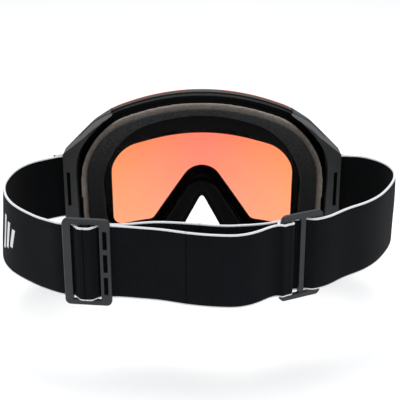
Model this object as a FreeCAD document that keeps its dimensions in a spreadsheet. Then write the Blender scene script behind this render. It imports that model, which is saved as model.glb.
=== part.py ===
import FreeCAD, Part
import math
import os

import Sketcher

# Ski goggles with a cylindrical double lens, three-layer face foam and an elastic strap with
# two sliders. Millimetres. +Z is up, the lens faces -Y, the wearer's left is +X, and the strap's
# loop runs back to +Y at mid height. Z = 0 is the strap's centre line while the parts are made;
# the whole set is lifted at the end so that its lowest point stands on Z = 0.

V = FreeCAD.Vector
Z_AXIS = V(0, 0, 1)

SIZES = [
    # overall
    ("half_width", 82.0, "frame's rim, centre to side"),
    ("top_z", 55.2, "where the two brow lines would meet"),
    ("bottom_z", -58.0, "lowest edge of the rim"),
    ("loop_half_width", 117.3, "strap loop, centre to its widest point"),
    ("loop_depth", 129.8, "strap loop's back, behind the wings"),
    # rim outline
    ("brow_fall", 18.2, "corner below the brow's peak"),
    ("brow_radius", 230.0, "brow"),
    ("corner_radius", 33.0, "upper corners"),
    ("lower_taper", 2.0, "how much narrower the frame is at the bottom"),
    ("cheek_radius", 38.0, "lower corners"),
    ("nose_half_width", 18.0, "nose notch's foot"),
    ("nose_foot_radius", 12.0, "nose notch's feet"),
    ("notch_z", -10.5, "where the notch's sides would meet"),
    ("notch_radius", 6.0, "notch's top"),
    # face foam, outer edge, against the rim outline
    ("foam_brow_step", 4.2, "foam edge below the rim's brow"),
    ("foam_side_step", 2.6, "foam edge inside the rim's side"),
    ("foam_corner_step", 2.6, "foam corner below the rim's corner"),
    ("foam_brow_radius", 212.0, "brow of the foam"),
    ("foam_corner_radius", 38.0, "foam's upper corners"),
    ("foam_cheek_step", 1.0, "foam edge inside the rim at the cheek"),
    ("foam_low_step", 5.0, "foam edge above the rim's lowest edge"),
    ("foam_cheek_radius", 34.0, "foam's lower corners"),
    ("foam_nose_step", 0.0, "foam's notch foot beside the rim's"),
    ("foam_foot_radius", 10.0, "foam's notch feet"),
    ("foam_notch_drop", 8.6, "foam's notch below the rim's"),
    ("foam_notch_radius", 1.2, "foam's notch top"),
    # face foam, opening, against the foam's outer edge
    ("band_brow", 10.1, "foam width at the brow"),
    ("band_side", 12.9, "foam width at the temples"),
    ("band_corner", 7.7, "opening's corner below the foam's"),
    ("band_cheek", 15.5, "foam width low on the cheek"),
    ("band_low", 10.0, "foam width along the bottom"),
    ("band_foot", 11.5, "foam width beside the nose"),
    ("band_notch", 21.5, "foam height over the nose"),
    ("eye_brow_radius", 140.0, "opening's brow"),
    ("eye_corner_radius", 38.0, "opening's upper corners"),
    ("eye_cheek_radius", 20.0, "opening's lower corners"),
    ("eye_foot_radius", 8.0, "opening's corners beside the nose"),
    ("eye_notch_radius", 14.0, "opening's arch over the nose"),
    ("fleece_step", 3.9, "fleece edge inside the foam edge"),
    ("fleece_brow_step", 2.6, "fleece edge below the foam's brow"),
    ("fleece_corner_step", 3.0, "fleece's corner below the foam's"),
    ("fleece_foot_step", 2.3, "fleece's notch foot beside the foam's"),
    ("fleece_notch_rise", 8.0, "fleece's notch above the foam's"),
    ("fleece_notch_radius", 4.0, "fleece's notch top"),
    # clear window of the lens, against the rim outline
    ("window_brow_step", 33.5, "window below the rim's brow"),
    ("window_side_step", 18.9, "window inside the rim's side"),
    ("window_taper", 0.5, "how much narrower the window is at the bottom"),
    ("window_corner_step", 25.4, "window's corner below the rim's"),
    ("window_low_step", 13.0, "window above the rim's lowest edge"),
    ("window_foot_step", 17.6, "window beside the nose notch"),
    ("window_notch_rise", 15.4, "window's arch above the notch"),
    ("window_brow_radius", 204.0, "window's brow"),
    ("window_corner_radius", 20.0, "window's upper corners"),
    ("window_cheek_radius", 7.5, "window's lower corners"),
    ("window_foot_radius", 5.0, "window's corners beside the nose"),
    ("window_notch_radius", 15.2, "window's arch over the nose"),
    # depths at the centre, measured from the wings' plane
    ("face_y", -33.0, "fleece, towards the face"),
    ("fleece_thickness", 3.0, "fleece"),
    ("middle_foam_thickness", 3.6, "middle foam"),
    ("base_foam_thickness", 8.4, "base foam"),
    ("chassis_depth", 7.0, "soft frame"),
    ("rim_depth", 6.0, "rim"),
    ("face_wrap", 23.0, "face radius beyond the half width"),
    ("chassis_wrap", 30.0, "soft frame's rear radius beyond the half width"),
    ("lens_wrap", 22.0, "lens radius beyond the half width"),
    # soft frame and vents
    ("chassis_step", 1.0, "soft frame inside the rim outline"),
    ("flange_thickness", 1.8, "soft frame's rear flange"),
    ("vent_depth", 3.2, "vent channels"),
    ("vent_fit", 0.1, "vent foam in its channel"),
    ("top_vent_half_length", 56.0, "brow vent"),
    ("low_vent_inner", 30.0, "bottom vents' end by the nose"),
    ("low_vent_outer", 60.0, "bottom vents' end by the cheek"),
    # lens unit
    ("lens_gap", 0.3, "lens unit in front of the rim"),
    ("carrier_thickness", 2.0, "lens carrier"),
    ("outer_lens_thickness", 1.7, "outer lens"),
    ("gasket_thickness", 4.3, "spacer between the two lenses"),
    ("gasket_width", 5.0, "spacer, edge to edge"),
    ("inner_lens_thickness", 1.2, "inner lens"),
    ("carrier_clearance", 0.3, "carrier round the spacer"),
    ("opening_clearance", 1.0, "frame's opening round the spacer"),
    ("carrier_step", 0.4, "carrier and outer lens inside the rim outline"),
    # magnets
    ("magnet_radius", 2.5, "magnets"),
    ("magnet_thickness", 1.2, "magnets"),
    ("magnet_skin", 0.1, "magnets below the faces that meet"),
    ("magnet_fit", 0.05, "magnets in their pockets"),
    ("brow_magnet_x", 34.0, "brow magnets"),
    ("brow_magnet_drop", 20.0, "brow magnets below the brow's peak"),
    ("side_magnet_step", 8.0, "side magnets inside the rim's side"),
    ("side_magnet_z", -8.0, "side magnets"),
    ("low_magnet_x", 46.0, "bottom magnets"),
    ("low_magnet_rise", 5.0, "bottom magnets above the rim's lowest edge"),
    # outriggers
    ("arm_clearance", 0.15, "outriggers round the rim"),
    ("arm_root", 23.2, "outrigger's inner end inside the rim's side"),
    ("arm_root_z", 43.0, "outrigger's top at its inner end"),
    ("arm_rear_x", 2.0, "outrigger's rear edge past its inner end"),
    ("arm_mid_x", 8.5, "outrigger's slope past its inner end, half way"),
    ("arm_wing_x", 15.5, "outrigger's slope past its inner end, at the wing"),
    ("arm_bend", 10.0, "outrigger's bend inside the rim's side"),
    ("arm_bend_z", 36.6, "outrigger's bend"),
    ("arm_bend_radius", 22.0, "outrigger's bend"),
    ("wing_reach", 7.6, "wing outside the rim's side"),
    ("wing_top_z", 22.6, "wing's upper corner"),
    ("wing_low_z", -24.8, "wing's lower corner"),
    ("wing_edge_radius", 1.5, "wing's corners"),
    ("arm_low_z", -44.0, "outrigger's lower bend"),
    ("arm_foot_z", -53.0, "outrigger's lower end"),
    ("wing_back_y", 3.0, "wing's rear face"),
    ("arm_root_y", -19.0, "outrigger's rear edge at its inner end"),
    ("arm_mid_y", -6.0, "outrigger's rear edge half way"),
    ("wing_pocket_depth", 6.3, "strap pocket across, in the wing"),
    ("strap_play", 0.4, "pocket above and below the strap"),
    ("wing_pocket_x", 1.3, "strap pocket's floor outside the rim's side"),
    ("wing_slot_width", 2.2, "rear slot"),
    ("wing_slot_top", 10.4, "rear slot's upper end"),
    ("wing_slot_low", -12.5, "rear slot's lower end"),
    ("pin_radius", 1.2, "strap pins"),
    ("pin_y", -3.0, "strap pins"),
    ("pin_x", 4.5, "strap pins outside the rim's side"),
    ("pin_seat", 1.5, "strap pin's ends in the wing"),
    ("pin_fit", 0.03, "strap pins in their seats"),
    # grip pads
    ("pad_length", 25.0, "grip pad along the outrigger"),
    ("pad_width", 15.0, "grip pad across the outrigger"),
    ("pad_centre_x", 12.5, "grip pad's centre inside the rim's side"),
    ("pad_centre_y", -18.0, "grip pad's centre"),
    ("pad_turn", 41.5, "grip pad's lie along the outrigger, degrees"),
    ("pad_proud", 0.35, "grip pad above the outrigger"),
    ("pad_depth", 0.9, "grip pad's seat in the outrigger"),
    ("pad_fit", 0.05, "grip pad in its seat"),
    ("ridge_pitch", 2.6, "grip ridges"),
    ("ridge_groove", 0.8, "grooves between the ridges"),
    # strap and sliders
    ("strap_height", 42.4, "elastic's width"),
    ("strap_thickness", 1.4, "elastic's thickness"),
    ("slider_height", 50.0, "sliders"),
    ("slider_thickness", 2.6, "sliders"),
    ("outer_bar", 4.5, "slider bar towards the wing"),
    ("centre_bar", 3.0, "slider's middle bar"),
    ("centre_bar_thickness", 1.8, "slider's middle bar"),
    ("inner_bar", 5.6, "slider bar with the three slots"),
    ("slider_window", 6.3, "each window of a slider"),
    ("rail_height", 3.0, "slider's top and bottom rails"),
    ("bar_slot_width", 2.4, "slots in the inner bar"),
    ("bar_slot_length", 10.3, "slots in the inner bar"),
    ("bar_slot_pitch", 13.2, "slots in the inner bar"),
    ("slider_corner", 3.0, "slider's outer corners"),
    ("slider_edge", 0.5, "slider's softened edges"),
    ("left_slider_x", 62.0, "left slider's centre"),
    ("left_slider_y", 120.5, "left slider's centre"),
    ("left_slider_turn", -7.0, "left slider's lie, degrees"),
    ("right_slider_x", -53.8, "right slider's centre"),
    ("right_slider_y", 111.5, "right slider's centre"),
    ("right_slider_turn", 27.0, "right slider's lie, degrees"),
    ("bar_gap", 0.3, "elastic beside a slider's bar"),
    ("layer_gap", 0.2, "elastic beside elastic"),
    ("strap_lead", 26.0, "elastic free to settle beside a slider"),
    ("layer_sag", 4.5, "inner layer away from the outer one at the back"),
]

# how far the working solids reach past the goggles
REACH = 400.0
FRONT_REACH = 90.0
BACK_REACH = 30.0

doc = FreeCAD.newDocument("Goggles")
sheet = doc.addObject("Spreadsheet::Sheet", "Sizes")
for row, (alias, number, meaning) in enumerate(SIZES, start=1):
    sheet.set(f"A{row}", meaning)
    sheet.set(f"B{row}", str(number))
    sheet.setAlias(f"B{row}", alias)
doc.recompute()


def size(expression):
    """The value of an expression over the sheet's sizes."""
    value = sheet.evalExpression(expression)
    return float(getattr(value, "Value", value))


def add(kind, name, **properties):
    """A document object with its properties set."""
    made = doc.addObject(kind, name)
    for key, value in properties.items():
        setattr(made, key, value)
    return made


def bind(made, **expressions):
    """Bind an object's properties to expressions over the sheet."""
    for key, expression in expressions.items():
        made.setExpression(key.replace("__", "."), expression)
    return made


# ---- outlines --------------------------------------------------------------------------------


def corner_arc(before, here, after, radius):
    """Where a corner's arc starts and ends, its centre, and whether it turns to the left."""
    back = (before - here).normalize()
    on = (after - here).normalize()
    half = back.getAngle(on) / 2
    reach = radius / math.tan(half)
    centre = here + (back + on).normalize() * (radius / math.sin(half))
    turns_left = (here - before).cross(after - here).z > 0
    return here + back * reach, here + on * reach, centre, turns_left


def rounded_outline(name, corners, mirrored, upright):
    """A sketch of straight sides joined by tangent arcs, through corners bound to the sheet.

    A mirrored outline lists its corners from the top of the centre line round one half to the
    bottom of it. An upright one lies in XZ, the others in XY.
    """
    turn = FreeCAD.Rotation(V(1, 0, 0), 90 if upright else 0)
    sketch = add("Sketcher::SketchObject", name, Placement=FreeCAD.Placement(V(), turn))
    spots = [V(size(x), size(y), 0) for x, y, _ in corners]
    radii = [size(r) for _, _, r in corners]
    own = len(corners)
    if mirrored:
        for k in range(own - 2, 0, -1):
            spots.append(V(-spots[k].x, spots[k].y, 0))
            radii.append(radii[k])
    count = len(spots)
    arcs = [
        corner_arc(spots[k - 1], spots[k], spots[(k + 1) % count], radii[k]) for k in range(count)
    ]
    for k in range(count):
        sketch.addGeometry(Part.LineSegment(arcs[k][1], arcs[(k + 1) % count][0]), False)
    for k, (start, end, centre, turns_left) in enumerate(arcs):
        first, last = (start, end) if turns_left else (end, start)
        circle = Part.Circle(centre, Z_AXIS, radii[k])
        angles = [math.atan2(p.y - centre.y, p.x - centre.x) for p in (first, last)]
        sketch.addGeometry(Part.ArcOfCircle(circle, *angles), False)
    for spot in spots:
        sketch.addGeometry(Part.Point(spot), True)
    for k in range(count):
        arc, following = count + k, count + (k + 1) % count
        leaves = 2 if arcs[k][3] else 1
        meets = 1 if arcs[(k + 1) % count][3] else 2
        sketch.addConstraint(Sketcher.Constraint("Tangent", k, 1, arc, leaves))
        sketch.addConstraint(Sketcher.Constraint("Tangent", k, 2, following, meets))
        point = 2 * count + k
        sketch.addConstraint(Sketcher.Constraint("PointOnObject", point, 1, k))
        sketch.addConstraint(Sketcher.Constraint("PointOnObject", point, 1, (k - 1) % count))
    for k in range(count):
        arc, point = count + k, 2 * count + k
        if k >= own:
            twin = count - k
            sketch.addConstraint(Sketcher.Constraint("Equal", count + twin, arc))
            sketch.addConstraint(
                Sketcher.Constraint("Symmetric", 2 * count + twin, 1, point, 1, -2)
            )
            continue
        x, y, r = corners[k]
        measured = [("Radius", r, (arc, radii[k]))]
        measured.append(("DistanceY", y, (-1, 1, point, 1, spots[k].y)))
        if mirrored and k in (0, own - 1):
            sketch.addConstraint(Sketcher.Constraint("PointOnObject", point, 1, -2))
        else:
            measured.append(("DistanceX", x, (-1, 1, point, 1, spots[k].x)))
        for what, expression, where in measured:
            index = sketch.addConstraint(Sketcher.Constraint(what, *where))
            sketch.renameConstraint(index, f"{what}{k}")
            sketch.setExpression(f"Constraints.{what}{k}", expression)
    return sketch


def grown(name, outline, expression):
    """The outline moved outward by an expression over the sheet."""
    made = add("Part::Offset2D", name, Source=outline, Join="Arc", Mode="Skin")
    return bind(made, Value=expression)


def through(name, outline):
    """An upright outline run through the goggles from front to back."""
    return add(
        "Part::Extrusion",
        name,
        Base=outline,
        DirMode="Custom",
        Dir=V(0, 1, 0),
        LengthFwd=BACK_REACH,
        LengthRev=FRONT_REACH,
        Solid=True,
        FaceMakerClass="Part::FaceMakerSimple",
    )


def pillar(name, outline):
    """A flat outline run from bottom to top."""
    return add(
        "Part::Extrusion",
        name,
        Base=outline,
        DirMode="Custom",
        Dir=Z_AXIS,
        LengthFwd=REACH / 2,
        LengthRev=REACH / 2,
        Solid=True,
    )


def cut(name, base, tool):
    return add("Part::Cut", name, Base=base, Tool=tool)


def common(name, base, tool):
    return add("Part::Common", name, Base=base, Tool=tool)


def fuse(name, shapes):
    return add("Part::MultiFuse", name, Shapes=shapes)


def block(name, **bounds):
    """A box between bounds x, y and z, each a pair of expressions."""
    made = add("Part::Box", name)
    for axis, side in (("x", "Length"), ("y", "Width"), ("z", "Height")):
        low, high = bounds[axis]
        made.setExpression(f"Placement.Base.{axis}", low)
        made.setExpression(side, f"({high}) - ({low})")
    return made


def mirror(name, source):
    return add("Part::Mirroring", name, Source=source, Normal=V(1, 0, 0))


# ---- curved faces: upright cylinders, each named by where it crosses the centre line ----------


def curved_face(name, front, radius):
    made = add("Part::Cylinder", name, Height=REACH)
    bind(made, Radius=radius, Placement__Base__y=f"({front}) + ({radius})")
    made.setExpression("Placement.Base.z", str(-REACH / 2))
    return made


FACE_R = "(Sizes.half_width + Sizes.face_wrap)"
CHASSIS_R = "(Sizes.half_width + Sizes.chassis_wrap)"
LENS_R = "(Sizes.half_width + Sizes.lens_wrap)"
FLEECE_Y = "(Sizes.face_y - Sizes.fleece_thickness)"
MIDDLE_Y = f"({FLEECE_Y} - Sizes.middle_foam_thickness)"
CHASSIS_Y = f"({MIDDLE_Y} - Sizes.base_foam_thickness)"
RIM_Y = f"({CHASSIS_Y} - Sizes.chassis_depth)"
SEAT_Y = f"({RIM_Y} - Sizes.rim_depth)"
CARRIER_Y = f"({SEAT_Y} - Sizes.lens_gap)"
LENS_Y = f"({CARRIER_Y} - Sizes.carrier_thickness)"
FRONT_Y = f"({LENS_Y} - Sizes.outer_lens_thickness)"
INNER_Y = f"({LENS_Y} + Sizes.gasket_thickness)"
INNER_BACK_Y = f"({INNER_Y} + Sizes.inner_lens_thickness)"


def lens_radius(y):
    """The radius of a face concentric with the rim's seat, from where it crosses the centre."""
    return f"({LENS_R} + {SEAT_Y} - {y})"


face_side = curved_face("FaceSide", "Sizes.face_y", FACE_R)
fleece_side = curved_face("FleeceSide", FLEECE_Y, f"{FACE_R} + Sizes.fleece_thickness")
middle_side = curved_face(
    "MiddleSide", MIDDLE_Y, f"{FACE_R} + Sizes.fleece_thickness + Sizes.middle_foam_thickness"
)
chassis_side = curved_face("ChassisSide", CHASSIS_Y, CHASSIS_R)
flange_side = curved_face("FlangeSide", f"{CHASSIS_Y} - Sizes.flange_thickness", CHASSIS_R)
rim_side = curved_face("RimSide", RIM_Y, LENS_R)
seat_side = curved_face("SeatSide", SEAT_Y, LENS_R)
carrier_side = curved_face("CarrierSide", CARRIER_Y, lens_radius(CARRIER_Y))
lens_side = curved_face("LensSide", LENS_Y, lens_radius(LENS_Y))
front_side = curved_face("FrontSide", FRONT_Y, lens_radius(FRONT_Y))
inner_side = curved_face("InnerSide", INNER_Y, lens_radius(INNER_Y))
inner_back_side = curved_face("InnerBackSide", INNER_BACK_Y, lens_radius(INNER_BACK_Y))

fleece_slab = cut("FleeceSlab", fleece_side, face_side)
middle_slab = cut("MiddleSlab", middle_side, fleece_side)
base_slab = cut("BaseSlab", chassis_side, middle_side)
chassis_slab = cut("ChassisSlab", rim_side, chassis_side)
vent_slab = cut("VentSlab", rim_side, flange_side)
rim_slab = cut("RimSlab", seat_side, rim_side)
carrier_slab = cut("CarrierSlab", lens_side, carrier_side)
lens_slab = cut("LensSlab", front_side, lens_side)
gasket_slab = cut("GasketSlab", lens_side, inner_side)
inner_slab = cut("InnerSlab", inner_side, inner_back_side)

# ---- the four drawn outlines and what is offset from them --------------------------------------

rim_outline = rounded_outline(
    "RimOutline",
    [
        ("0", "Sizes.top_z", "Sizes.brow_radius"),
        ("Sizes.half_width", "Sizes.top_z - Sizes.brow_fall", "Sizes.corner_radius"),
        ("Sizes.half_width - Sizes.lower_taper", "Sizes.bottom_z", "Sizes.cheek_radius"),
        ("Sizes.nose_half_width", "Sizes.bottom_z", "Sizes.nose_foot_radius"),
        ("0", "Sizes.notch_z", "Sizes.notch_radius"),
    ],
    mirrored=True,
    upright=True,
)

FOAM_TOP = "(Sizes.top_z - Sizes.foam_brow_step)"
FOAM_SIDE = "(Sizes.half_width - Sizes.foam_side_step)"
FOAM_CORNER = "(Sizes.top_z - Sizes.brow_fall - Sizes.foam_corner_step)"
FOAM_LOW_X = "(Sizes.half_width - Sizes.lower_taper - Sizes.foam_cheek_step)"
FOAM_LOW = "(Sizes.bottom_z + Sizes.foam_low_step)"
FOAM_FOOT = "(Sizes.nose_half_width + Sizes.foam_nose_step)"
FOAM_NOTCH = "(Sizes.notch_z - Sizes.foam_notch_drop)"
foam_outline = rounded_outline(
    "FoamOutline",
    [
        ("0", FOAM_TOP, "Sizes.foam_brow_radius"),
        (FOAM_SIDE, FOAM_CORNER, "Sizes.foam_corner_radius"),
        (FOAM_LOW_X, FOAM_LOW, "Sizes.foam_cheek_radius"),
        (FOAM_FOOT, FOAM_LOW, "Sizes.foam_foot_radius"),
        ("0", FOAM_NOTCH, "Sizes.foam_notch_radius"),
    ],
    mirrored=True,
    upright=True,
)
eye_outline = rounded_outline(
    "EyeOutline",
    [
        ("0", f"{FOAM_TOP} - Sizes.band_brow", "Sizes.eye_brow_radius"),
        (
            f"{FOAM_SIDE} - Sizes.band_side",
            f"{FOAM_CORNER} - Sizes.band_corner",
            "Sizes.eye_corner_radius",
        ),
        (
            f"{FOAM_LOW_X} - Sizes.band_cheek",
            f"{FOAM_LOW} + Sizes.band_low",
            "Sizes.eye_cheek_radius",
        ),
        (
            f"{FOAM_FOOT} + Sizes.band_foot",
            f"{FOAM_LOW} + Sizes.band_low",
            "Sizes.eye_foot_radius",
        ),
        ("0", f"{FOAM_NOTCH} + Sizes.band_notch", "Sizes.eye_notch_radius"),
    ],
    mirrored=True,
    upright=True,
)
WINDOW_LOW = "(Sizes.bottom_z + Sizes.window_low_step)"
window_outline = rounded_outline(
    "WindowOutline",
    [
        ("0", "Sizes.top_z - Sizes.window_brow_step", "Sizes.window_brow_radius"),
        (
            "Sizes.half_width - Sizes.window_side_step",
            "Sizes.top_z - Sizes.brow_fall - Sizes.window_corner_step",
            "Sizes.window_corner_radius",
        ),
        (
            "Sizes.half_width - Sizes.window_side_step - Sizes.window_taper",
            WINDOW_LOW,
            "Sizes.window_cheek_radius",
        ),
        (
            "Sizes.nose_half_width + Sizes.window_foot_step",
            WINDOW_LOW,
            "Sizes.window_foot_radius",
        ),
        ("0", "Sizes.notch_z + Sizes.window_notch_rise", "Sizes.window_notch_radius"),
    ],
    mirrored=True,
    upright=True,
)
chassis_outline = grown("ChassisOutline", rim_outline, "-Sizes.chassis_step")
channel_outline = grown(
    "ChannelOutline", rim_outline, "-Sizes.chassis_step - Sizes.vent_depth"
)
vent_outline = grown(
    "VentOutline", rim_outline, "-Sizes.chassis_step - Sizes.vent_depth + Sizes.vent_fit"
)
carrier_outline = grown("CarrierOutline", rim_outline, "-Sizes.carrier_step")
arm_inner_outline = grown("ArmInnerOutline", rim_outline, "Sizes.arm_clearance")
fleece_outline = rounded_outline(
    "FleeceOutline",
    [
        ("0", f"{FOAM_TOP} - Sizes.fleece_brow_step", "Sizes.foam_brow_radius"),
        (
            f"{FOAM_SIDE} - Sizes.fleece_step",
            f"{FOAM_CORNER} - Sizes.fleece_corner_step",
            "Sizes.foam_corner_radius - Sizes.fleece_step",
        ),
        (
            f"{FOAM_LOW_X} - Sizes.fleece_step",
            f"{FOAM_LOW} + Sizes.fleece_step",
            "Sizes.foam_cheek_radius - Sizes.fleece_step",
        ),
        (
            f"{FOAM_FOOT} + Sizes.fleece_foot_step",
            f"{FOAM_LOW} + Sizes.fleece_step",
            "Sizes.foam_foot_radius",
        ),
        ("0", f"{FOAM_NOTCH} + Sizes.fleece_notch_rise", "Sizes.fleece_notch_radius"),
    ],
    mirrored=True,
    upright=True,
)
gasket_outline = grown("GasketOutline", window_outline, "Sizes.gasket_width")
carrier_hole_outline = grown(
    "CarrierHoleOutline", window_outline, "Sizes.gasket_width + Sizes.carrier_clearance"
)
opening_outline = grown(
    "OpeningOutline", window_outline, "Sizes.gasket_width + Sizes.opening_clearance"
)

rim_prism = through("RimPrism", rim_outline)
foam_prism = through("FoamPrism", foam_outline)
eye_prism = through("EyePrism", eye_outline)
window_prism = through("WindowPrism", window_outline)
chassis_prism = through("ChassisPrism", chassis_outline)
channel_prism = through("ChannelPrism", channel_outline)
vent_prism = through("VentPrism", vent_outline)
carrier_prism = through("CarrierPrism", carrier_outline)
arm_inner_prism = through("ArmInnerPrism", arm_inner_outline)
fleece_prism = through("FleecePrism", fleece_outline)
gasket_prism = through("GasketPrism", gasket_outline)
carrier_hole_prism = through("CarrierHolePrism", carrier_hole_outline)
opening_prism = through("OpeningPrism", opening_outline)

parts = {}


def ring(node, outside, inside, slab):
    """A ring between two run-through outlines, kept where the slab is."""
    return common(node, cut(f"{node}_ring", outside, inside), slab)


# ---- face foam: three layers -------------------------------------------------------------------

parts["foam_face_fleece"] = ring("foam_face_fleece", fleece_prism, eye_prism, fleece_slab)
parts["foam_middle_layer"] = ring("foam_middle_layer", foam_prism, eye_prism, middle_slab)
parts["foam_base_layer"] = ring("foam_base_layer", foam_prism, eye_prism, base_slab)

# ---- soft frame with its vent channels and their open-cell foam --------------------------------

chassis_blank = ring("chassis_blank", chassis_prism, opening_prism, chassis_slab)
channel_zone = common(
    "channel_zone", cut("channel_ring", rim_prism, channel_prism), vent_slab
)
vent_zone = common("vent_zone", cut("vent_ring", chassis_prism, vent_prism), vent_slab)


def vent_block(name, low, high, top, fit):
    """The stretch of a vent, from low to high in X, above or below mid height."""
    reach = ("0", str(REACH / 2)) if top else (str(-REACH / 2), "0")
    return block(
        name,
        x=(f"{low} + {fit}", f"{high} - {fit}"),
        y=(str(-FRONT_REACH), str(BACK_REACH)),
        z=reach,
    )


VENTS = [
    ("top_vent_foam", "-Sizes.top_vent_half_length", "Sizes.top_vent_half_length", True),
    ("left_bottom_vent_foam", "Sizes.low_vent_inner", "Sizes.low_vent_outer", False),
    ("right_bottom_vent_foam", "-Sizes.low_vent_outer", "-Sizes.low_vent_inner", False),
]
channels = []
for node, low, high, top in VENTS:
    channels.append(
        common(f"{node}_channel", channel_zone, vent_block(f"{node}_gap", low, high, top, "0"))
    )
    span = vent_block(f"{node}_span", low, high, top, "Sizes.vent_fit")
    parts[node] = common(node, vent_zone, span)
parts["frame_chassis"] = cut("frame_chassis", chassis_blank, fuse("channels", channels))

# ---- magnets: one set in the rim, one in the lens carrier ---------------------------------------


def magnet_spots():
    """X and Z of every magnet."""
    brow = (size("Sizes.brow_magnet_x"), size("Sizes.top_z - Sizes.brow_magnet_drop"))
    side = (size("Sizes.half_width - Sizes.side_magnet_step"), size("Sizes.side_magnet_z"))
    low = (size("Sizes.low_magnet_x"), size("Sizes.bottom_z + Sizes.low_magnet_rise"))
    return [(way * x, z) for x, z in (brow, side, low) for way in (1, -1)]


def magnet_set(name, start, fit):
    """Discs square to the lens's curve, their near faces at radius start of that curve."""
    seat = size(LENS_R)
    centre_y = size(f"{SEAT_Y} + {LENS_R}")
    discs = []
    for k, (x, z) in enumerate(magnet_spots(), start=1):
        disc = add("Part::Cylinder", f"{name}_{k}")
        bind(
            disc,
            Radius=f"Sizes.magnet_radius + {fit}",
            Height=f"Sizes.magnet_thickness + {fit}",
        )
        lean = math.degrees(math.asin(x / seat))
        outward = V(x, -math.sqrt(seat**2 - x**2), 0).normalize()
        turn = FreeCAD.Rotation(Z_AXIS, lean) * FreeCAD.Rotation(V(1, 0, 0), 90)
        disc.Placement = FreeCAD.Placement(V(0, centre_y, z) + outward * start, turn)
        discs.append(disc)
    return add("Part::Compound", name, Links=discs)


rim_magnet_start = size(f"{LENS_R} - Sizes.magnet_skin - Sizes.magnet_thickness")
carrier_magnet_start = size(f"{LENS_R} + Sizes.lens_gap + Sizes.magnet_skin")
fit = size("Sizes.magnet_fit")
parts["frame_magnets"] = magnet_set("frame_magnets", rim_magnet_start, "0")
parts["lens_magnets"] = magnet_set("lens_magnets", carrier_magnet_start, "0")
rim_pockets = magnet_set("rim_pockets", rim_magnet_start - fit, "2 * Sizes.magnet_fit")
carrier_pockets = magnet_set(
    "carrier_pockets", carrier_magnet_start - fit, "2 * Sizes.magnet_fit"
)

# ---- rim and lens unit --------------------------------------------------------------------------

rim_blank = ring("rim_blank", rim_prism, opening_prism, rim_slab)
parts["front_rim"] = cut("front_rim", rim_blank, rim_pockets)
carrier_blank = ring("carrier_blank", carrier_prism, carrier_hole_prism, carrier_slab)
parts["lens_carrier"] = cut("lens_carrier", carrier_blank, carrier_pockets)
parts["outer_lens"] = common("outer_lens", carrier_prism, lens_slab)
parts["lens_gasket"] = ring("lens_gasket", gasket_prism, window_prism, gasket_slab)
parts["inner_lens"] = common("inner_lens", gasket_prism, inner_slab)

# ---- outriggers, their strap pins and their grip pads -------------------------------------------

ARM_ROOT = "(Sizes.half_width - Sizes.arm_root)"
ARM_BEND = "(Sizes.half_width - Sizes.arm_bend)"
WING_X = "(Sizes.half_width + Sizes.wing_reach)"
PIN_X = "(Sizes.half_width + Sizes.pin_x)"
arm_outline = rounded_outline(
    "ArmOutline",
    [
        (ARM_ROOT, "Sizes.arm_root_z", "1"),
        (ARM_BEND, "Sizes.arm_bend_z", "Sizes.arm_bend_radius"),
        (WING_X, "Sizes.wing_top_z", "Sizes.wing_edge_radius"),
        (WING_X, "Sizes.wing_low_z", "Sizes.wing_edge_radius"),
        (ARM_BEND, "Sizes.arm_low_z", "Sizes.arm_bend_radius"),
        (ARM_ROOT, "Sizes.arm_foot_z", "1"),
    ],
    mirrored=False,
    upright=True,
)
plan_outline = rounded_outline(
    "ArmPlan",
    [
        (f"{ARM_ROOT} + Sizes.arm_rear_x", str(-FRONT_REACH), "0.5"),
        (f"{ARM_ROOT} + Sizes.arm_rear_x", "Sizes.arm_root_y", "2"),
        (f"{ARM_ROOT} + Sizes.arm_mid_x", "Sizes.arm_mid_y", "4"),
        (f"{ARM_ROOT} + Sizes.arm_wing_x", "Sizes.wing_back_y", "3"),
        (f"{WING_X} + 5", "Sizes.wing_back_y", "0.5"),
        (f"{WING_X} + 5", str(-FRONT_REACH), "0.5"),
    ],
    mirrored=False,
    upright=False,
)
arm_prism = through("ArmPrism", arm_outline)
arm_plan = common("arm_plan", pillar("ArmPillar", plan_outline), seat_side)
arm_solid = common("arm_solid", arm_prism, arm_plan)
arm_blank = cut("arm_blank", arm_solid, arm_inner_prism)

HALF_STRAP = "(Sizes.strap_height / 2)"
PIN_HALF = f"({HALF_STRAP} + Sizes.pin_seat)"
pocket = block(
    "pocket",
    x=("Sizes.half_width + Sizes.wing_pocket_x", f"{WING_X} + 5"),
    y=(
        "Sizes.pin_y - Sizes.wing_pocket_depth / 2",
        "Sizes.pin_y + Sizes.wing_pocket_depth / 2",
    ),
    z=(f"-{HALF_STRAP} - Sizes.strap_play", f"{HALF_STRAP} + Sizes.strap_play"),
)
rear_slot = block(
    "rear_slot",
    x=(f"{PIN_X} - Sizes.wing_slot_width / 2", f"{PIN_X} + Sizes.wing_slot_width / 2"),
    y=("Sizes.pin_y", "Sizes.wing_back_y + 1"),
    z=("Sizes.wing_slot_low", "Sizes.wing_slot_top"),
)


def upright_rod(name, radius, half_length):
    made = add("Part::Cylinder", name)
    bind(made, Radius=radius, Height=f"2 * {half_length}", Placement__Base__x=PIN_X)
    bind(made, Placement__Base__y="Sizes.pin_y", Placement__Base__z=f"-{half_length}")
    return made


pin_hole = upright_rod("pin_hole", "Sizes.pin_radius + Sizes.pin_fit", f"({PIN_HALF} + 0.05)")
parts["left_strap_pin"] = upright_rod("left_strap_pin", "Sizes.pin_radius", PIN_HALF)
parts["right_strap_pin"] = mirror("right_strap_pin", parts["left_strap_pin"])


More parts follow.
